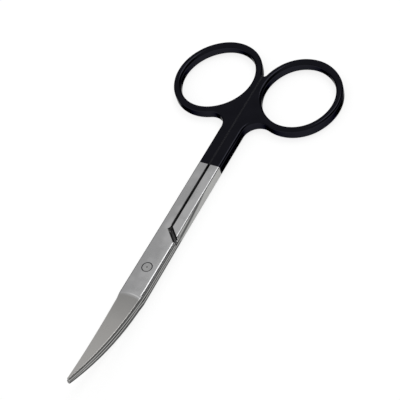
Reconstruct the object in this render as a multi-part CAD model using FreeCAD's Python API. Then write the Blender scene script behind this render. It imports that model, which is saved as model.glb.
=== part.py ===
import FreeCAD, Part

# Dissecting scissors with curved blades and coated ring handles, 115 mm long, closed.
# Millimetres. The origin lies on the pivot axis, in the plane of the flat underside.
# +X runs towards the tips, +Y towards the ring of the lower half, +Z up out of the pivot.
# Each half is one forging: a ring, a shank, one leaf of the lap joint and a blade.
# The lower half has its ring at +Y. The upper half is its twin, turned over about X,
# and only the blades differ, because both curve upwards.

import math
import os

Vec = FreeCAD.Vector

# Joint and shank
HEIGHT = 3.2            # thickness of the closed pair at the joint
JOINT_SIDE = 3.3        # from the centre line to the side of the joint
SHANK_SIDE = 3.1        # from the centre line to the outer side of a bare shank
SEAM = 0.28             # from the centre line to the inner side of a shank
SHANK_ROUND = 0.45      # rounding of the bare shank's outer edges
JOINT_ROUND = 0.72      # rounding of the joint where its side runs on into a blade's back
EDGE_BREAK = 0.12       # broken edges along the seam and between the leaves
LEAF_GAP = 0.08         # running gap between the two leaves and between the blades
NOTCH_BACK = -13.0      # where the shoulder of the lap joint meets the seam
NOTCH_FRONT = -9.9      # where that shoulder meets the outer side
NOTCH_GAP = 0.65        # room between the shoulder and the other half's leaf
NOTCH_CORNER = 0.6      # rounding in the corner of the leaf behind that gap
SLOPE_FACE = 0.4        # sloping edges on both sides of that gap: across the outer face
SLOPE_DEEP = 0.55       # and down the wall

# Finger rings and their coat, sizes over the coat
RING_X = -64.0          # centre of a ring
RING_WIDE = 11.1        # half the width of the centre line of the ring's wire
RING_OVAL = 1.0         # how much longer half its length is
RING_OUT = 1.3          # how much further out than that half width the ring's centre lies
RING_TILT = 14.8        # degrees, by which the fronts of the long axes lean outwards
WIRE_WIDTH = 2.0
WIRE_ROUND = 0.95       # rounding of the finger hole's edges
WEB_ROUND = 0.7         # rounding of the outer edges of ring and shank
WEB_CORNER = 4.2        # inner corner between the ring's front and the shank
WEB_REAR = -67.4        # how far back the halves still meet between the rings
CROTCH = 1.0            # inner corner there
COAT = 0.2              # thickness of the coat
COAT_PROUD = 0.1        # how far the coat's side stands out from the bare shank
COAT_FRONT = -34.8      # where the coat ends

# Blades
BEND = 8.4              # where the blades begin to curve
TIP = 38.1              # from the pivot to the tips
RISE = 5.4              # how far the meeting faces have risen at the tips
TIP_THICK = 1.2         # thickness of one blade at its tip
GRIND = 0.8             # degrees, by which the outer faces turn in at the bend
CREASE = 0.4            # length of the rolled crease at that turn
BACK_START = 5.4        # where the back begins to run in
HEEL_BACK = 3.2         # centre line to back at the bend
TIP_BACK = 0.49         # centre line to back at the tip
BACK_ROUND = 0.3        # rounding of the back past the bend
HEEL_SIDE = 3.25        # centre line to the joint's side at the bend
EDGE_LEAD = 2.5         # from the bend to where the cutting edge starts
EDGE_SIDE = 2.85        # centre line to cutting edge at that start
EDGE_BOW = 0.46         # bow of the cutting edge, seen from above

# Pivot screw
SCREW_R = 1.35          # shank of the screw, as wide as its thread
SCREW_RUN = 0.04        # clearance in the lower leaf, on the radius
HEAD_R = 2.1
HEAD_TALL = 0.85
HEAD_SINK = 0.1         # how far the head lies under the face
HEAD_RUN = 0.06         # clearance round the head
SEAT_RUN = 0.02         # play under the head
SLOT_WIDE = 0.5
SLOT_DEEP = 0.4
RIM = 0.12              # broken edge round the screw's flush end
PUNCH_R = 0.22          # centre mark in that end
PUNCH_DEEP = 0.18

MID = HEIGHT / 2
FAR = 2 * TIP
AXIS_X = Vec(1, 0, 0)
AXIS_Y = Vec(0, 1, 0)
AXIS_Z = Vec(0, 0, 1)


def wire_of(*edges):
    return Part.Wire(list(edges))


def line(a, b):
    return Part.LineSegment(a, b).toShape()


def arc(a, through, b):
    return Part.Arc(a, through, b).toShape()


def polygon(points):
    return Part.makePolygon(points + points[:1])


def prism(wire, low, high):
    """A plan outline drawn at z = 0, made solid from low to high."""
    face = Part.Face(wire)
    face.translate(Vec(0, 0, low))
    return face.extrude(Vec(0, 0, high - low))


def block(x0, x1, y0, y1, z0, z1):
    return Part.makeBox(x1 - x0, y1 - y0, z1 - z0, Vec(x0, y0, z0))


def turned_over(shape):
    """The twin of a half: turned half round about the long axis at mid height."""
    twin = shape.copy()
    twin.rotate(Vec(0, 0, MID), AXIS_X, 180)
    return twin


def one_solid(shape):
    clean = shape.removeSplitter()
    return max(clean.Solids, key=lambda solid: solid.Volume)


def bowed(a, b, bow):
    """An arc in plan from a to b, bowed outwards, to +Y, by the given amount."""
    middle = (a + b) * 0.5
    along = b - a
    out = Vec(-along.y, along.x, 0)
    out.normalize()
    if out.y < 0:
        out = out * -1
    return arc(a, middle + out * bow, b)


def arc_leaving(start, degrees, end):
    """An arc in the XZ plane that leaves start at a slope and passes through end."""
    slope = math.radians(degrees)
    normal = Vec(-math.sin(slope), 0, math.cos(slope))
    chord = end - start
    radius = chord.dot(chord) / (2 * chord.dot(normal))
    centre = start + normal * radius
    middle = start + chord * 0.5 - centre
    middle.normalize()
    return arc(start, centre + middle * abs(radius), end)


def oval(grow):
    """The ring's outline as four arcs, grown from the wire's centre line.

    At the ends of the long axis the centre line is as tight as an ellipse is there.
    """
    long_r = RING_WIDE + RING_OVAL + grow
    wide_r = RING_WIDE + grow
    end_r = RING_WIDE ** 2 / (RING_WIDE + RING_OVAL) + grow
    end_c = long_r - end_r
    side_r = (end_c ** 2 + wide_r ** 2 - end_r ** 2) / (2 * (wide_r - end_r))
    side_c = side_r - wide_r
    angle = math.atan2(side_c, end_c)
    px, py = end_c + end_r * math.cos(angle), end_r * math.sin(angle)
    front = arc(Vec(px, -py, 0), Vec(long_r, 0, 0), Vec(px, py, 0))
    outer = arc(Vec(px, py, 0), Vec(0, wide_r, 0), Vec(-px, py, 0))
    back = arc(Vec(-px, py, 0), Vec(-long_r, 0, 0), Vec(-px, -py, 0))
    inner = arc(Vec(-px, -py, 0), Vec(0, -wide_r, 0), Vec(px, -py, 0))
    outline = wire_of(front, outer, back, inner)
    outline.rotate(Vec(0, 0, 0), AXIS_Z, RING_TILT)
    outline.translate(Vec(RING_X, RING_WIDE + RING_OUT, 0))
    return outline


def level_edges(shape, z, wanted):
    """The edges of shape that lie at height z and pass the test on their middle."""
    found = []
    for edge in shape.Edges:
        box = edge.BoundBox
        if abs(box.ZMin - z) > 1e-6 or abs(box.ZMax - z) > 1e-6:
            continue
        middle = edge.valueAt((edge.FirstParameter + edge.LastParameter) / 2)
        if wanted(middle):
            found.append(edge)
    return found


def handle(skin):
    """Ring, web and coated shank of the lower half, skin mm inside the coat's surface."""
    low, high = skin, HEIGHT - skin
    side = SHANK_SIDE + COAT_PROUD - skin
    half_wire = WIRE_WIDTH / 2 - skin
    ring = prism(oval(half_wire), low, high)
    shank = block(WEB_REAR + skin, COAT_FRONT, -RING_WIDE / 2, side, low, high)
    blank = ring.fuse(shank).removeSplitter()
    corner = [edge for edge in upright_edges(blank) if is_web_corner(edge.Vertexes[0], side)]
    blank = blank.makeFillet(WEB_CORNER + skin, corner)
    crotch = [edge for edge in upright_edges(blank) if is_crotch(edge.Vertexes[0], skin)]
    blank = blank.makeFillet(CROTCH + skin, crotch)
    blank = blank.cut(prism(oval(-half_wire), low, high))
    rim = []
    for z in (low, high):
        rim += level_edges(blank, z, lambda p: on_outline(p, half_wire, side))
    blank = blank.makeFillet(WEB_ROUND - skin, rim)
    hole = []
    for z in (low, high):
        hole += level_edges(blank, z, lambda p: in_hole(p, half_wire))
    blank = blank.makeFillet(WIRE_ROUND - skin, hole)
    seam = SEAM - COAT + skin
    beyond = block(RING_X - FAR, FAR, seam, FAR, 0, HEIGHT)
    return one_solid(blank.common(beyond))


def from_ring(point):
    """A plan point in the ring's own axes, as a length against the wire's centre line."""
    across = Vec(point.x - RING_X, point.y - RING_WIDE - RING_OUT, 0)
    tilt = math.radians(RING_TILT)
    u = across.x * math.cos(tilt) + across.y * math.sin(tilt)
    v = across.y * math.cos(tilt) - across.x * math.sin(tilt)
    return math.hypot(u / (RING_WIDE + RING_OVAL), v / RING_WIDE)


def in_hole(point, half_wire):
    return from_ring(point) < 1 - 0.5 * half_wire / RING_WIDE


def on_outline(point, half_wire, side):
    if in_hole(point, half_wire) or point.y < -1 or point.x > COAT_FRONT - 1e-3:
        return False
    return from_ring(point) > 1 + 0.5 * half_wire / RING_WIDE or point.y > side - 1e-3


def upright_edges(shape):
    return [edge for edge in shape.Edges if edge.BoundBox.ZLength > edge.BoundBox.DiagonalLength - 1e-6]


def is_web_corner(vertex, side):
    """Where the ring's front meets the shank's outer side."""
    return abs(vertex.Y - side) < 1e-6 and WEB_REAR + 1 < vertex.X < COAT_FRONT - 1


def is_crotch(vertex, skin):
    """Where the ring's inner side meets the rear end of the web between the rings."""
    return abs(vertex.X - WEB_REAR - skin) < 1e-6 and -1 < vertex.Y < WIRE_WIDTH


def shoulder(outwards):
    """The two ends of the lower half's shoulder line, moved outwards to the front."""
    a = Vec(NOTCH_BACK, SEAM, 0)
    b = Vec(NOTCH_FRONT, JOINT_SIDE, 0)
    along = b - a
    along.normalize()
    front = Vec(along.y, -along.x, 0)
    reach = along * JOINT_SIDE
    return a - reach + front * outwards, b + reach + front * outwards


def bare_shank():
    """The lower half's shank at full height, from the coat to its shoulder."""
    a, b = shoulder(0)
    body = block(COAT_FRONT - 1, NOTCH_FRONT + 1, SEAM, SHANK_SIDE, 0, HEIGHT)
    edges = []
    for z in (0, HEIGHT):
        edges += level_edges(body, z, lambda p: p.y > SHANK_SIDE - 1e-3)
    body = body.makeFillet(SHANK_ROUND, edges)
    inner = []
    for z in (0, HEIGHT):
        inner += level_edges(body, z, lambda p: p.y < SEAM + 1e-3)
    body = body.makeChamfer(EDGE_BREAK, inner)
    front = prism(polygon([a, b, Vec(FAR, b.y, 0), Vec(FAR, a.y, 0)]), -1, HEIGHT + 1)
    back = block(COAT_FRONT - 2, COAT_FRONT, 0, 2 * SHANK_SIDE, -1, HEIGHT + 1)
    body = body.cut(front).cut(back)
    return body.cut(sloping_edge(b, a, HEIGHT, SLOPE_FACE, SLOPE_DEEP))


def sloping_edge(a, b, level, wide, deep):
    """What to cut for a sloping edge from a to b, with the material on the left of a to b.

    The slope is so wide on the face at this level and so deep down the wall. A negative
    depth is for a face that looks down.
    """
    along = b - a
    along.normalize()
    across = Vec(-along.y, along.x, 0) * wide
    start = a - along * wide
    end = b + along * wide
    high = start + across * 2 + AXIS_Z * (level + deep)
    low = start - across + AXIS_Z * (level - 2 * deep)
    out = start - across + AXIS_Z * (level + deep)
    return Part.Face(polygon([high, low, out])).extrude(end - start)


def meeting_curve(offset):
    """Half profile, in the XZ plane, of the surface in which the halves meet."""
    flat_start = Vec(0, 0, MID + offset)
    bend = Vec(BEND, 0, MID + offset)
    tip = Vec(TIP, 0, MID + RISE + offset)
    return flat_start, bend, tip


def meeting_side(offset, up):
    """Everything above or below the meeting surface, a turned shape about the pivot."""
    start, bend, tip = meeting_curve(offset)
    rise = arc_leaving(bend, 0, tip)
    end_z = 2 * FAR if up else -FAR
    far_out = Vec(FAR, 0, tip.z)
    corner_out = Vec(FAR, 0, end_z)
    corner_in = Vec(0, 0, end_z)
    outline = wire_of(line(start, bend), rise, line(tip, far_out), line(far_out, corner_out),
                      line(corner_out, corner_in), line(corner_in, start))
    return Part.Face(outline).revolve(Vec(0, 0, 0), AXIS_Z, 360)


def face_profile(upper):
    """The blades' outer face seen from the side: flat, a rolled crease, then one arc."""
    level = HEIGHT if upper else 0.0
    slope = -GRIND if upper else GRIND
    tip_z = MID + RISE + (TIP_THICK if upper else -TIP_THICK)
    crease = Vec(BEND, 0, level)
    roll_end = crease + Vec(CREASE, 0, math.radians(slope) * CREASE / 2)
    roll = arc_leaving(crease, 0, roll_end)
    rise = arc_leaving(roll_end, slope, Vec(TIP, 0, tip_z))
    far_z = -FAR if upper else 2 * FAR
    back = NOTCH_BACK - JOINT_SIDE
    corners = [Vec(TIP, 0, tip_z), Vec(TIP, 0, far_z), Vec(back, 0, far_z), Vec(back, 0, level), crease]
    sides = [line(a, b) for a, b in zip(corners[:-1], corners[1:])]
    return wire_of(roll, rise, *sides)


def back_line(start, through, end):
    """The back in plan: straight along the joint, then two arcs with no corner between."""
    first = arc_leaving_in_plan(start, 0, through)
    chord = through - start
    turn = 2 * math.degrees(math.atan2(chord.y, chord.x))
    second = arc_leaving_in_plan(through, turn, end)
    return first, second


def arc_leaving_in_plan(start, degrees, end):
    edge = arc_leaving(Vec(start.x, 0, start.y), degrees, Vec(end.x, 0, end.y))
    edge.rotate(Vec(0, 0, 0), AXIS_X, -90)
    return edge


def between_faces(outline, upper):
    """A plan outline made solid up or down to the blades' outer face."""
    outer_side = Part.Face(face_profile(upper)).extrude(Vec(0, 8 * JOINT_SIDE, 0))
    outer_side.translate(Vec(0, -4 * JOINT_SIDE, 0))
    return prism(outline, -1, HEIGHT + 2 * RISE).common(outer_side)


def back_side(upper):
    """Blank with the back of leaf and blade at +Y, its outer edge rounded less past the bend."""
    rear = Vec(NOTCH_BACK - 1, JOINT_SIDE, 0)
    start = Vec(BACK_START, JOINT_SIDE, 0)
    heel = Vec(BEND, HEEL_BACK, 0)
    tip = Vec(TIP, TIP_BACK, 0)
    far_tip = Vec(TIP, -3 * JOINT_SIDE, 0)
    far_rear = Vec(rear.x, -3 * JOINT_SIDE, 0)
    outline = wire_of(line(rear, start), *back_line(start, heel, tip), line(tip, far_tip),
                      line(far_tip, far_rear), line(far_rear, rear))
    body = between_faces(outline, upper)
    face_z = HEIGHT if upper else 0
    past_bend = block(BEND, FAR, -FAR, FAR, -FAR, FAR)
    joint = body.cut(past_bend)
    joint = joint.makeFillet(JOINT_ROUND, level_edges(joint, face_z, lambda p: p.y > JOINT_SIDE - 1e-3))
    blade = body.common(past_bend)
    corner = Part.Vertex(BEND, HEEL_BACK, face_z)
    sharp = [edge for edge in blade.Edges
             if edge.distToShape(corner)[0] < 1e-6 and edge.BoundBox.XLength > CREASE / 2]
    blade = blade.makeFillet(BACK_ROUND, sharp)
    return joint.fuse(blade)


def joint_side(body, upper):
    """Cuts the joint's other side, which runs on from the shank's, and rounds its edge."""
    rear = Vec(NOTCH_BACK - 1, -SHANK_SIDE, 0)
    heel = Vec(BEND, -HEEL_SIDE, 0)
    ahead = heel + (heel - rear) * (FAR / (heel - rear).Length)
    far = -3 * JOINT_SIDE - 1
    waste = polygon([rear - (heel - rear), ahead, Vec(ahead.x, far, 0), Vec(rear.x * 3, far, 0)])
    body = body.cut(prism(waste, -2, HEIGHT + 3 * RISE))
    face_z = HEIGHT if upper else 0
    edges = level_edges(body, face_z, lambda p: p.y < -SHANK_SIDE + 1e-3 and p.x < BEND - 1)
    return body.makeFillet(SHANK_ROUND, edges)


def cutting_edge(body):
    """Cuts the blade's edge side: a slanting lead from the bend, then a bowed line to the tip."""
    heel = Vec(BEND, -HEEL_SIDE, 0)
    start = Vec(BEND + EDGE_LEAD, -EDGE_SIDE, 0)
    tip = Vec(TIP, 0, 0)
    ahead = Vec(TIP + 1, 0, 0)
    below = Vec(TIP + 1, -4 * JOINT_SIDE, 0)
    back = Vec(BEND, -4 * JOINT_SIDE, 0)
    waste = wire_of(line(heel, start), bowed(start, tip, -EDGE_BOW), line(tip, ahead),
                    line(ahead, below), line(below, back), line(back, heel))
    return body.cut(prism(waste, -2, HEIGHT + 3 * RISE))


def leaf(upper):
    """A leaf with its blade, its back at +Y, cut back from the other half's shoulder."""
    body = cutting_edge(joint_side(back_side(upper), upper))
    a, b = shoulder(NOTCH_GAP)
    along = (b - a) * (1 / (b - a).Length)
    corner = a + along * ((-SEAM - a.y) / along.y)
    end = a + along * ((2 * JOINT_SIDE - a.y) / along.y)
    far_x = 2 * NOTCH_BACK
    room = prism(polygon([corner, end, Vec(far_x, end.y, 0), Vec(far_x, corner.y, 0)]), -1, FAR)
    upright = [edge for edge in room.Edges if (edge.CenterOfMass - corner).cross(AXIS_Z).Length < 1e-6]
    room = room.makeFillet(NOTCH_CORNER, upright)
    face_z, up = (HEIGHT, 1) if upper else (0, -1)
    body = body.cut(room)
    body = body.cut(sloping_edge(end, corner, face_z, SLOPE_FACE, up * SLOPE_DEEP))
    gap = up * LEAF_GAP / 2
    body = body.common(meeting_side(gap, upper))
    side_rear = Vec(NOTCH_BACK - 1, -SHANK_SIDE, 0)
    heel = Vec(BEND, -HEEL_SIDE, 0)
    return body.cut(sloping_edge(side_rear, heel, MID + gap, EDGE_BREAK, -up * EDGE_BREAK))


def bored(body, upper):
    """The hole for the pivot screw, with a seat for its head in the lower leaf."""
    if upper:
        hole = Part.makeCylinder(SCREW_R, FAR, Vec(0, 0, 0))
        rim = Part.makeCone(SCREW_R, SCREW_R + RIM, RIM, Vec(0, 0, HEIGHT - RIM))
        return body.cut(hole).cut(rim)
    hole = Part.makeCylinder(SCREW_R + SCREW_RUN, FAR, Vec(0, 0, -1))
    seat = Part.makeCylinder(HEAD_R + HEAD_RUN, 1 + HEAD_SINK + HEAD_TALL + SEAT_RUN, Vec(0, 0, -1))
    return body.cut(hole).cut(seat)


def pivot_screw():
    """Slotted screw: its head in the lower leaf, its end flush with the upper one."""
    head = Part.makeCylinder(HEAD_R, HEAD_TALL, Vec(0, 0, HEAD_SINK))
    shank = Part.makeCylinder(SCREW_R, HEIGHT - HEAD_SINK, Vec(0, 0, HEAD_SINK))
    screw = head.fuse(shank).removeSplitter()
    screw = screw.makeChamfer(RIM, level_edges(screw, HEAD_SINK, lambda p: True))
    screw = screw.makeChamfer(RIM, level_edges(screw, HEIGHT, lambda p: True))
    slot = block(-FAR, FAR, -SLOT_WIDE / 2, SLOT_WIDE / 2, -1, HEAD_SINK + SLOT_DEEP)
    slot.rotate(Vec(0, 0, 0), AXIS_Z, 35)
    punch = Part.makeCone(0, PUNCH_R, PUNCH_DEEP, Vec(0, 0, HEIGHT - PUNCH_DEEP))
    return one_solid(screw.cut(slot).cut(punch))


def half(upper):
    """One forging: ring, shank, leaf and blade."""
    grip = handle(COAT).fuse(bare_shank())
    front = leaf(upper)
    if upper:
        grip = turned_over(grip)
    else:
        front = front.mirror(Vec(0, 0, 0), AXIS_Y)
    return one_solid(bored(grip.fuse(front), upper))


def coat(upper):
    """The coat on ring and shank, open towards the joint."""
    sleeve = one_solid(handle(0).cut(handle(COAT)))
    return turned_over(sleeve) if upper else sleeve


pieces = {
    "lower_half": half(False),
    "upper_half": half(True),
    "pivot_screw": pivot_screw(),
    "lower_handle_coating": coat(False),
    "upper_handle_coating": coat(True),
}

os.makedirs("parts", exist_ok=True)
for name, shape in pieces.items():
    print(name, shape.isValid(), len(shape.Solids), round(shape.Volume, 2))
    shape.exportStep("parts/" + name + ".step")
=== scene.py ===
import math

import bpy
import numpy as np
from mathutils import Euler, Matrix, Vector


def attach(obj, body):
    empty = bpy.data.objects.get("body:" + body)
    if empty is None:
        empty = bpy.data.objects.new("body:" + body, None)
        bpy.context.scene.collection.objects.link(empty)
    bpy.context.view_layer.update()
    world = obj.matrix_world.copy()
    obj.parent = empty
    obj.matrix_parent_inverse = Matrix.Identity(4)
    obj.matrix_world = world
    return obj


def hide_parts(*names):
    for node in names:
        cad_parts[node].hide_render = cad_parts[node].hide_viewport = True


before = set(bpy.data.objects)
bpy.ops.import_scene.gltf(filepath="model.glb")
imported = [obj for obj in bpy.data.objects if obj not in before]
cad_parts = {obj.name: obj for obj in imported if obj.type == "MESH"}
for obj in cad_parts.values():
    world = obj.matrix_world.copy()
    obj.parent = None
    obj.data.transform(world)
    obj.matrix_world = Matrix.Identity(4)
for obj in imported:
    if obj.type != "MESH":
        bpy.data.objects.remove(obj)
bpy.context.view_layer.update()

# Metres and degrees. The origin lies on the pivot axis in the plane of the underside,
# +X runs to the tips, +Y to the lower half's ring and +Z up out of the pivot screw.
MM = 0.001

# Form of the scissors. The halves meet in one surface turned about the pivot: it is level
# as far out as the crease, where the blades begin, and rises along an arc from there.
MEETING_Z = 1.6 * MM    # height of that surface where it is level
CREASE_X = 8.4 * MM     # from the pivot to the crease
ARC_RADIUS = 84.4 * MM  # radius of that arc
JOINT_HALF = 3.3 * MM   # from the centre line to the side of the joint
NOTCH_X = -11.5 * MM    # middle of the slanted notch between shank and leaf
SCREW_RIM = 1.38 * MM   # from the pivot to where the screw's end meets its leaf
HEAD_RIM = 2.13 * MM    # from the pivot to the gap round the screw's head
HEAD_TOP = 1.0 * MM     # height just over that head

# For all materials. A noise hardly ever leaves its spread, and a painted highlight brightens the outer
# edges as far in as their reach.
WHITE = (1.0, 1.0, 1.0)
NOISE_SPREAD = (0.3, 0.7)
EDGE_REACH = 0.15 * MM
CLOSENESS_SAMPLES = 16


class Recipe:
    """The steps of a material or of the room's light, as nodes.

    A step returns the socket that holds its result. Where it takes a value, that is a number,
    a colour or the socket of an earlier step.
    """

    def __init__(self, tree):
        self.nodes = tree.nodes
        self.links = tree.links

    def add(self, kind, inputs=None, **settings):
        """A node of the given kind with its settings and its inputs' numbers."""
        node = self.nodes.new(kind)
        for name, value in settings.items():
            setattr(node, name, value)
        for name, value in (inputs or {}).items():
            node.inputs[name].default_value = value
        return node

    def put(self, value, socket):
        """A value into a socket: a colour of three parts, a number, or an earlier step's socket."""
        if isinstance(value, tuple):
            socket.default_value = (*value, 1.0)
        elif isinstance(value, (int, float)):
            socket.default_value = value
        else:
            self.links.new(value, socket)

    def coordinates(self, kind):
        """Texture coordinates of the given kind."""
        return self.add("ShaderNodeTexCoord").outputs[kind]

    def split(self, vector):
        """A vector's X, Y and Z."""
        parts = self.add("ShaderNodeSeparateXYZ")
        self.links.new(vector, parts.inputs["Vector"])
        return parts.outputs["X"], parts.outputs["Y"], parts.outputs["Z"]

    def calculated(self, operation, first, second=0.0):
        """One sum on two values."""
        sum_node = self.add("ShaderNodeMath", operation=operation)
        self.put(first, sum_node.inputs[0])
        self.put(second, sum_node.inputs[1])
        return sum_node.outputs[0]

    def product(self, first, *others):
        """All the values multiplied."""
        for other in others:
            first = self.calculated("MULTIPLY", first, other)
        return first

    def distance(self, first, second):
        """How far two values are apart."""
        return self.calculated("ABSOLUTE", self.calculated("SUBTRACT", first, second))

    def ranged(self, source, ends, results=(0.0, 1.0), smooth=False):
        """From the first of the results to the second as the source goes between the two ends."""
        change = self.add("ShaderNodeMapRange")
        if smooth:
            change.interpolation_type = "SMOOTHSTEP"
        for name, value in zip(("From Min", "From Max", "To Min", "To Max"), (*ends, *results)):
            change.inputs[name].default_value = value
        self.links.new(source, change.inputs["Value"])
        return change.outputs["Result"]

    def blended(self, amount, first, second):
        """From the first colour to the second by amount."""
        mix = self.add("ShaderNodeMix", data_type="RGBA")
        self.links.new(amount, mix.inputs["Factor"])
        colours = {socket.name: socket for socket in mix.inputs if socket.type == "RGBA"}
        self.put(first, colours["A"])
        self.put(second, colours["B"])
        return next(socket for socket in mix.outputs if socket.type == "RGBA")

    def noise(self, scale, detail, stretch=(1.0, 1.0, 1.0)):
        """Noise on Object coordinates, squeezed along each axis by the numbers of stretch."""
        squeeze = self.add("ShaderNodeMapping", inputs={"Scale": stretch})
        noise = self.add("ShaderNodeTexNoise", inputs={"Scale": scale, "Detail": detail})
        self.links.new(self.coordinates("Object"), squeeze.inputs["Vector"])
        self.links.new(squeeze.outputs["Vector"], noise.inputs["Vector"])
        return noise.outputs["Fac"]

    def closeness(self, reach, inside=False):
        """Low in gaps narrower than reach or, inside, low beside the outer edges."""
        return self.add("ShaderNodeAmbientOcclusion", inputs={"Distance": reach},
                        inside=inside, samples=CLOSENESS_SAMPLES).outputs["AO"]

    def bumps(self, height, strength, depth):
        """The normal over bumps of the given height, for a shader."""
        bump = self.add("ShaderNodeBump", inputs={"Strength": strength, "Distance": depth})
        self.links.new(height, bump.inputs["Height"])
        return bump.outputs["Normal"]

    def place(self):
        """Object coordinates X, Y and Z, and how far out from the pivot axis they are."""
        x, y, z = self.split(self.coordinates("Object"))
        squares = self.calculated("ADD", self.product(x, x), self.product(y, y))
        return x, y, z, self.calculated("SQRT", squares)

    def as_metal(self, colour, roughness, normal, tint=WHITE):
        """The recipe's end: metal with this colour, roughness and normal, tinted at grazing angles."""
        shader = self.add("ShaderNodeBsdfPrincipled", inputs={"Metallic": 1.0})
        output = self.add("ShaderNodeOutputMaterial")
        self.put(colour, shader.inputs["Base Color"])
        self.put(roughness, shader.inputs["Roughness"])
        self.put(normal, shader.inputs["Normal"])
        self.put(tint, shader.inputs["Specular Tint"])
        self.links.new(shader.outputs["BSDF"], output.inputs["Surface"])


def new_material(name):
    """A material without nodes, and the recipe that fills it."""
    material = bpy.data.materials.new(name)
    material.use_nodes = True
    material.node_tree.nodes.clear()
    return material, Recipe(material.node_tree)


# Ring of painted shade in the gap round the screw. Here and below, a pair of numbers holds the
# two ends of a fade, or the values between which it leads.
SCREW_GAP_SHADE = (0.05 * MM, 0.16 * MM)
SCREW_GAP_SHADE_COLOUR = (0.04, 0.04, 0.05)
HEAD_TO_END = (HEAD_TOP, HEAD_TOP + 0.1 * MM)


def screw_gap_shade(recipe, z, out, colour):
    """The colour with a ring of painted shade where the screw's head and its end stand in their holes.
    """
    rim = recipe.ranged(z, HEAD_TO_END, (HEAD_RIM, SCREW_RIM))
    gap_shade = recipe.ranged(recipe.distance(out, rim), SCREW_GAP_SHADE, (1.0, 0.0), smooth=True)
    return recipe.blended(gap_shade, colour, SCREW_GAP_SHADE_COLOUR)


# Ground faces of the halves: the joint and shanks in patches, painted lighter to +Y, the blades
# plainer, with painted shade that fades from the crease
PATCH_SCALE = 190.0
PATCH_DETAIL = 3.0
PATCH_ENDS = (0.35, 0.65)
PATCH_SHADE_LEAN = (-0.22, 0.22)
JOINT_DARK = (0.49, 0.49, 0.495)
JOINT_LIGHT = (0.60, 0.60, 0.605)
# Painted shade on the blades, darkest at the crease and fading towards the tips
BLADE_SHADED = (0.40, 0.395, 0.385)
BLADE_LIT = (0.50, 0.49, 0.475)
BLADE_START = (CREASE_X + 0.1 * MM, CREASE_X + 1.2 * MM)
BLADE_SHADE_FADE = (CREASE_X, CREASE_X + 12.0 * MM)

# The crease, whose ends bow forward by this many times the square of Y, and the painted highlight
# along it: where it comes on and goes off past the crease, and how it grows along Y
CREASE_BOW = 60.0
CREASE_HIGHLIGHT_ON = (CREASE_X - 0.05 * MM, CREASE_X + 0.15 * MM)
CREASE_HIGHLIGHT_OFF = (CREASE_X + 0.2 * MM, CREASE_X + 0.45 * MM)
CREASE_HIGHLIGHT_ACROSS = (-1.2 * MM, 0.8 * MM)
CREASE_HIGHLIGHT_SHARES = (0.2, 0.9)
CREASE_HIGHLIGHT_COLOUR = (0.88, 0.88, 0.88)


def ground_colour(recipe, patches, x, y):
    """Colour of the ground faces.

    The joint and the shanks are patchy and painted lighter to +Y, the blades have painted shade,
    darker at the crease and lighter to the tips, and a painted highlight lies along the crease itself,
    brightest at +Y.
    """
    along = recipe.calculated("SUBTRACT", x, recipe.product(y, y, CREASE_BOW))
    shade_lean = recipe.ranged(y, (-JOINT_HALF, JOINT_HALF), PATCH_SHADE_LEAN)
    mottle = recipe.ranged(recipe.calculated("ADD", patches, shade_lean), PATCH_ENDS, smooth=True)
    joint = recipe.blended(mottle, JOINT_DARK, JOINT_LIGHT)
    blade = recipe.blended(recipe.ranged(x, BLADE_SHADE_FADE, smooth=True), BLADE_SHADED, BLADE_LIT)
    colour = recipe.blended(recipe.ranged(along, BLADE_START, smooth=True), joint, blade)

    on = recipe.ranged(along, CREASE_HIGHLIGHT_ON)
    off = recipe.ranged(along, CREASE_HIGHLIGHT_OFF, (1.0, 0.0))
    across = recipe.ranged(y, CREASE_HIGHLIGHT_ACROSS, CREASE_HIGHLIGHT_SHARES, smooth=True)
    return recipe.blended(recipe.product(on, off, across), colour, CREASE_HIGHLIGHT_COLOUR)


# Upright walls: the share of Z in a face's normal up to which it is a wall, and from which it
# isn't, and the heights over or under the meeting surface between which a wall's painted shade changes
UPRIGHT = (0.25, 0.65)
WALL_LIT = (0.42, 0.42, 0.41)
WALL_SHADED = (0.07, 0.07, 0.07)
JOINT_WALL_SHADE = (0.45 * MM, 0.85 * MM)
SHANK_WALL_SHADE = (0.2 * MM, 0.9 * MM)


def from_parting(recipe, z, out):
    """Height over or under the turned surface in which the halves meet.

    As far out as the crease the surface is level, and beyond it rises along an arc, by the
    radius less the root of the radius squared less the square of the way past the crease.
    """
    past = recipe.calculated("MAXIMUM", recipe.calculated("SUBTRACT", out, CREASE_X), 0.0)
    under_root = recipe.calculated("SUBTRACT", ARC_RADIUS ** 2, recipe.product(past, past))
    root = recipe.calculated("SQRT", under_root)
    surface = recipe.calculated("SUBTRACT", MEETING_Z + ARC_RADIUS, root)
    return recipe.distance(z, surface)


def shaded_wall_colour(recipe, height, at_joint):
    """Colour of the upright walls, where the skin of the forging stays.

    At the joint and the blades the walls are lighter beside the parting and have painted shade further
    from it. The shanks' walls have painted shade halfway up next to the notch, and are lighter further
    back.
    """
    joint = recipe.blended(recipe.ranged(height, JOINT_WALL_SHADE, smooth=True), WALL_LIT, WALL_SHADED)
    shank = recipe.blended(recipe.ranged(height, SHANK_WALL_SHADE, smooth=True), WALL_SHADED, WALL_LIT)
    return recipe.blended(at_joint, shank, joint)


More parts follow.
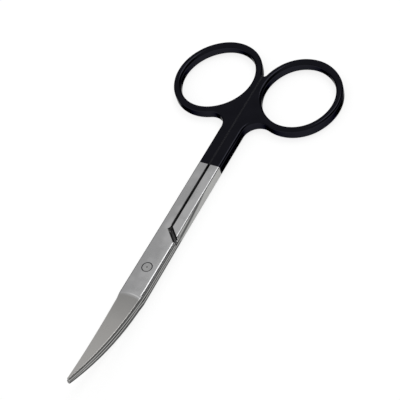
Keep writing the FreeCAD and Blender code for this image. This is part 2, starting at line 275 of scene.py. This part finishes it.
# Satin steel: where the shanks end and the joint begins, the faces that look to -Y with their painted
# shade, the painted highlight on outer edges, the painted shadow line along the parting, and the
# painted shade in narrow gaps
JOINT_BEGINS = (NOTCH_X - 1.0 * MM, NOTCH_X + 1.0 * MM)
FACING_BACK = (-0.40, -0.12)
BACK_SHADE_COLOUR = (0.12, 0.12, 0.12)
STEEL_EDGE_HIGHLIGHT = (0.45, 0.85)
STEEL_EDGE_HIGHLIGHT_SHARE = 0.7
STEEL_EDGE_HIGHLIGHT_COLOUR = (0.75, 0.75, 0.75)
PARTING_SHADE_BAND = (0.22 * MM, 0.38 * MM)
PARTING_SHADE_UPRIGHT = (0.80, 0.92)
PARTING_SHADE_COLOUR = (0.03, 0.03, 0.03)
GAP_REACH = 0.8 * MM
GAP_ENDS = (0.35, 0.97)
GAP_SHADE_COLOUR = (0.015, 0.015, 0.017)

# Its dullness, and the grain, drawn out across the scissors
STEEL_ROUGHNESS = (0.25, 0.32)
WALL_DULL = 0.12
GRAIN_SCALE = 3000.0
GRAIN_DETAIL = 2.0
GRAIN_STRETCH = (1.0, 0.06, 1.0)
GRAIN_STRENGTH = 0.08
GRAIN_DEPTH = 0.01 * MM


def satin_steel():
    """Satin steel of the two halves.

    Ground faces, duller upright walls with painted shade that are dark to -Y, painted highlights on
    the outer edges, a painted shadow line at the parting of the joint, painted shade in narrow gaps,
    and a fine grain.
    """
    material, recipe = new_material("satin_steel")
    x, y, z, out = recipe.place()
    _, turn_y, turn_z = recipe.split(recipe.coordinates("Normal"))
    upward = recipe.calculated("ABSOLUTE", turn_z)
    patches = recipe.noise(PATCH_SCALE, PATCH_DETAIL)
    wall = recipe.ranged(upward, UPRIGHT, (1.0, 0.0), smooth=True)
    height = from_parting(recipe, z, out)
    at_joint = recipe.ranged(x, JOINT_BEGINS, smooth=True)
    # Masks for the painted highlight on outer edges, the painted shade on faces that look to -Y, the
    # painted shadow line at the parting, and the painted shade in narrow gaps
    edge_highlight = recipe.ranged(recipe.closeness(EDGE_REACH, inside=True), STEEL_EDGE_HIGHLIGHT, (STEEL_EDGE_HIGHLIGHT_SHARE, 0.0))
    back = recipe.ranged(turn_y, FACING_BACK, (1.0, 0.0), smooth=True)
    parting = recipe.ranged(height, PARTING_SHADE_BAND, (1.0, 0.0), smooth=True)
    beside = recipe.ranged(upward, PARTING_SHADE_UPRIGHT, (1.0, 0.0))
    open_air = recipe.ranged(recipe.closeness(GAP_REACH), GAP_ENDS, smooth=True)

    colour = ground_colour(recipe, patches, x, y)
    colour = recipe.blended(wall, colour, shaded_wall_colour(recipe, height, at_joint))
    colour = recipe.blended(edge_highlight, colour, STEEL_EDGE_HIGHLIGHT_COLOUR)
    colour = recipe.blended(back, colour, BACK_SHADE_COLOUR)
    colour = recipe.blended(recipe.product(parting, beside, at_joint), colour, PARTING_SHADE_COLOUR)
    colour = recipe.blended(open_air, GAP_SHADE_COLOUR, colour)
    colour = screw_gap_shade(recipe, z, out, colour)

    dullness = recipe.calculated("ADD", recipe.ranged(patches, NOISE_SPREAD, STEEL_ROUGHNESS),
                                 recipe.product(wall, WALL_DULL))
    grain = recipe.noise(GRAIN_SCALE, GRAIN_DETAIL, GRAIN_STRETCH)
    recipe.as_metal(colour, dullness, recipe.bumps(grain, GRAIN_STRENGTH, GRAIN_DEPTH),
                    tint=recipe.blended(back, WHITE, BACK_SHADE_COLOUR))
    return material


# Turned steel of the screw, a little darker than the leaves, with the punched dot in its end
TURNED_SCALE = 2600.0
TURNED_WOBBLE = 0.6
TURNED_DETAIL = 1.0
TURNED_STRENGTH = 0.15
TURNED_DEPTH = 0.01 * MM
SCREW_SCALE = 900.0
SCREW_DETAIL = 2.0
SCREW_DARK = (0.44, 0.44, 0.44)
SCREW_LIGHT = (0.56, 0.56, 0.56)
SCREW_ROUGHNESS = (0.26, 0.40)
DOT = (0.12 * MM, 0.25 * MM)
DOT_SHARES = (0.12, 1.0)
DOT_COLOUR = (0.05, 0.05, 0.05)


def screw_steel():
    """Turned steel: rings about the pivot axis, and a dark dot in the middle of the end on top."""
    material, recipe = new_material("screw_steel")
    *_, z, out = recipe.place()
    patches = recipe.noise(SCREW_SCALE, SCREW_DETAIL)
    colour = recipe.blended(patches, SCREW_DARK, SCREW_LIGHT)
    outside_dot = recipe.ranged(out, DOT, DOT_SHARES, smooth=True)
    below = recipe.ranged(z, (HEAD_TOP, MEETING_Z), (1.0, 0.0))
    clear = recipe.calculated("MAXIMUM", outside_dot, below)
    colour = screw_gap_shade(recipe, z, out, recipe.blended(clear, DOT_COLOUR, colour))

    rings = recipe.add("ShaderNodeTexWave", wave_type="RINGS", rings_direction="Z",
                       inputs={"Scale": TURNED_SCALE, "Distortion": TURNED_WOBBLE,
                               "Detail": TURNED_DETAIL})
    recipe.put(recipe.coordinates("Object"), rings.inputs["Vector"])
    recipe.as_metal(colour, recipe.ranged(patches, NOISE_SPREAD, SCREW_ROUGHNESS),
                    recipe.bumps(rings.outputs["Fac"], TURNED_STRENGTH, TURNED_DEPTH))
    return material


# Black coat
COAT_DARK = (0.011, 0.011, 0.015)
COAT_LIGHT = (0.018, 0.018, 0.024)
COAT_TINT = (0.35, 0.35, 0.35)
COAT_ROUGHNESS = (0.10, 0.18)
# Painted highlight along the coat's outer edges
COAT_EDGE_HIGHLIGHT = (0.5, 0.95)
COAT_EDGE_HIGHLIGHT_COLOUR = (0.10, 0.10, 0.11)
HAZE_SCALE = 260.0
HAZE_DETAIL = 4.0
WAVE_SCALE = 420.0
WAVE_DETAIL = 2.0
WAVE_STRENGTH = 0.25
WAVE_DEPTH = 0.05 * MM


def black_coat():
    """Glossy black coat: slightly uneven like a dipped skin, hazy in places, with a painted highlight
    on its edges.
    """
    material, recipe = new_material("black_coat")
    haze = recipe.noise(HAZE_SCALE, HAZE_DETAIL)
    edge_highlight = recipe.ranged(recipe.closeness(EDGE_REACH, inside=True), COAT_EDGE_HIGHLIGHT, (1.0, 0.0))
    colour = recipe.blended(edge_highlight, recipe.blended(haze, COAT_DARK, COAT_LIGHT), COAT_EDGE_HIGHLIGHT_COLOUR)
    waves = recipe.noise(WAVE_SCALE, WAVE_DETAIL)
    recipe.as_metal(colour, recipe.ranged(haze, NOISE_SPREAD, COAT_ROUGHNESS),
                    recipe.bumps(waves, WAVE_STRENGTH, WAVE_DEPTH), tint=COAT_TINT)
    return material


# A turn between two triangles over this many degrees is a real edge
SHARP_TURN = 32.0


def finished(node_name, body, material):
    """A copy of a node with its finish on, its triangles joined so that round edges shade round.

    Corners in the same place become one, a triangle that this closes up is dropped, and each
    corner's normal leans to the larger faces beside it, apart from across sharp edges.
    """
    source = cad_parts[node_name].data
    points = np.empty(3 * len(source.vertices), np.float32)
    source.vertices.foreach_get("co", points)
    corners = np.empty(len(source.loops), np.int32)
    source.loops.foreach_get("vertex_index", corners)
    places, same = np.unique(points.reshape(-1, 3), axis=0, return_inverse=True)
    triangles = same.ravel()[corners].reshape(-1, 3)
    sides = np.roll(triangles, -1, axis=1)
    triangles = triangles[np.all(triangles != sides, axis=1)]
    name = "finished_" + node_name
    mesh = bpy.data.meshes.new(name)
    mesh.from_pydata(places, [], triangles)
    mesh.shade_smooth()
    mesh.set_sharp_from_angle(angle=math.radians(SHARP_TURN))
    mesh.materials.append(material)
    piece = bpy.data.objects.new(name, mesh)
    bpy.context.scene.collection.objects.link(piece)
    even = piece.modifiers.new("even_shading", "WEIGHTED_NORMAL")
    even.keep_sharp = True
    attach(piece, body)
    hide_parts(node_name)


steel = satin_steel()
coat = black_coat()
finished("lower_half", "lower_scissor_half", steel)
finished("upper_half", "upper_scissor_half", steel)
finished("pivot_screw", "upper_scissor_half", screw_steel())
finished("lower_handle_coating", "lower_scissor_half", coat)
finished("upper_handle_coating", "upper_scissor_half", coat)

# Table: white to the camera and in reflections, and it keeps the soft shadow
TABLE_HALF = 4.0
TABLE_DROP = 0.02 * MM
TABLE_COLOUR = (0.38, 0.38, 0.38)
TABLE_LIFT = 0.79


def white_table():
    """A plain white table top, a flat square well past the camera's view."""
    half = TABLE_HALF
    mesh = bpy.data.meshes.new("table")
    corners = [(-half, -half, -TABLE_DROP), (half, -half, -TABLE_DROP),
               (half, half, -TABLE_DROP), (-half, half, -TABLE_DROP)]
    mesh.from_pydata(corners, [], [(0, 1, 2, 3)])
    table = bpy.data.objects.new("table", mesh)
    bpy.context.scene.collection.objects.link(table)
    material, recipe = new_material("white_table")
    ray = recipe.add("ShaderNodeLightPath").outputs
    seen = recipe.calculated("MAXIMUM", ray["Is Camera Ray"], ray["Is Glossy Ray"])
    seen = recipe.calculated("MAXIMUM", seen, ray["Is Transmission Ray"])
    paint = recipe.add("ShaderNodeBsdfDiffuse")
    recipe.put(TABLE_COLOUR, paint.inputs["Color"])
    glow = recipe.add("ShaderNodeEmission")
    recipe.put(WHITE, glow.inputs["Color"])
    recipe.put(recipe.product(seen, TABLE_LIFT), glow.inputs["Strength"])
    both = recipe.add("ShaderNodeAddShader")
    recipe.put(paint.outputs["BSDF"], both.inputs[0])
    recipe.put(glow.outputs["Emission"], both.inputs[1])
    output = recipe.add("ShaderNodeOutputMaterial")
    recipe.put(both.outputs["Shader"], output.inputs["Surface"])
    mesh.materials.append(material)


white_table()

# Light: a pale room with a faint glow on one side and a dark side, and one soft panel.
# A direction is a bearing and an elevation.
ROOM_LEVEL = 0.54
GLOW_TOWARDS = (216.0, 14.0)
GLOW_LEVEL = 0.16
DARK_TOWARDS = (125.0, 22.0)
DARK_LEVEL = 0.50
PANEL_TOWARDS = (162.0, 58.0)
PANEL_REACH = 0.9
PANEL_SIDE = 0.5
PANEL_WATTS = 1.5

# Cosines of the angles from the middle of the glow and of the dark side where each begins
# and where it is full
GLOW_ENDS = (0.80, 0.98)
DARK_ENDS = (0.62, 0.90)


def towards(azimuth, elevation):
    """The direction with this bearing and elevation, of length one."""
    bearing, rise = math.radians(azimuth), math.radians(elevation)
    return Vector((math.cos(bearing) * math.cos(rise),
                   math.sin(bearing) * math.cos(rise),
                   math.sin(rise)))


def part_of_room(recipe, way, middle, ends, level):
    """A level that grows as the way comes closer to the middle's direction."""
    facing = recipe.add("ShaderNodeVectorMath", operation="DOT_PRODUCT")
    facing.inputs[1].default_value = middle
    recipe.put(way, facing.inputs[0])
    return recipe.ranged(facing.outputs["Value"], ends, (0.0, level), smooth=True)


def room():
    """Plain pale surroundings: an even level, plus the glow, less the dark side."""
    world = bpy.data.worlds.new("room")
    world.use_nodes = True
    recipe = Recipe(world.node_tree)
    way = recipe.coordinates("Generated")
    glow = part_of_room(recipe, way, towards(*GLOW_TOWARDS), GLOW_ENDS, GLOW_LEVEL)
    dark = part_of_room(recipe, way, towards(*DARK_TOWARDS), DARK_ENDS, DARK_LEVEL)
    level = recipe.calculated("SUBTRACT", recipe.calculated("ADD", glow, ROOM_LEVEL), dark)
    background = world.node_tree.nodes["Background"]
    recipe.put(WHITE, background.inputs["Color"])
    recipe.put(level, background.inputs["Strength"])
    bpy.context.scene.world = world


def overhead_panel():
    """A square lamp that faces the pivot."""
    away = towards(*PANEL_TOWARDS)
    lamp = bpy.data.lights.new("overhead_panel", "AREA")
    lamp.shape = "SQUARE"
    lamp.size = PANEL_SIDE
    lamp.energy = PANEL_WATTS
    holder = bpy.data.objects.new("overhead_panel", lamp)
    holder.location = away * PANEL_REACH
    holder.rotation_euler = away.to_track_quat("Z", "Y").to_euler()
    bpy.context.scene.collection.objects.link(holder)


room()
overhead_panel()

# Camera, fitted to the rings, shanks, joint and blades in the photograph
CAMERA_AT = (0.17227, 0.18471, 0.31340)
CAMERA_TURN = (38.9957, 12.7477, 117.6030)
CAMERA_LENS = 142.69
CAMERA_SENSOR = 36.0
CAMERA_NEAR = 0.01
CAMERA_FAR = 20.0


def camera():
    """The photograph's viewpoint."""
    data = bpy.data.cameras.new("camera")
    data.sensor_width = CAMERA_SENSOR
    data.lens = CAMERA_LENS
    data.clip_start = CAMERA_NEAR
    data.clip_end = CAMERA_FAR
    holder = bpy.data.objects.new("camera", data)
    holder.location = CAMERA_AT
    holder.rotation_euler = Euler([math.radians(turn) for turn in CAMERA_TURN], "XYZ")
    bpy.context.scene.collection.objects.link(holder)
    bpy.context.scene.camera = holder


camera()
bpy.context.scene.view_settings.view_transform = "Standard"
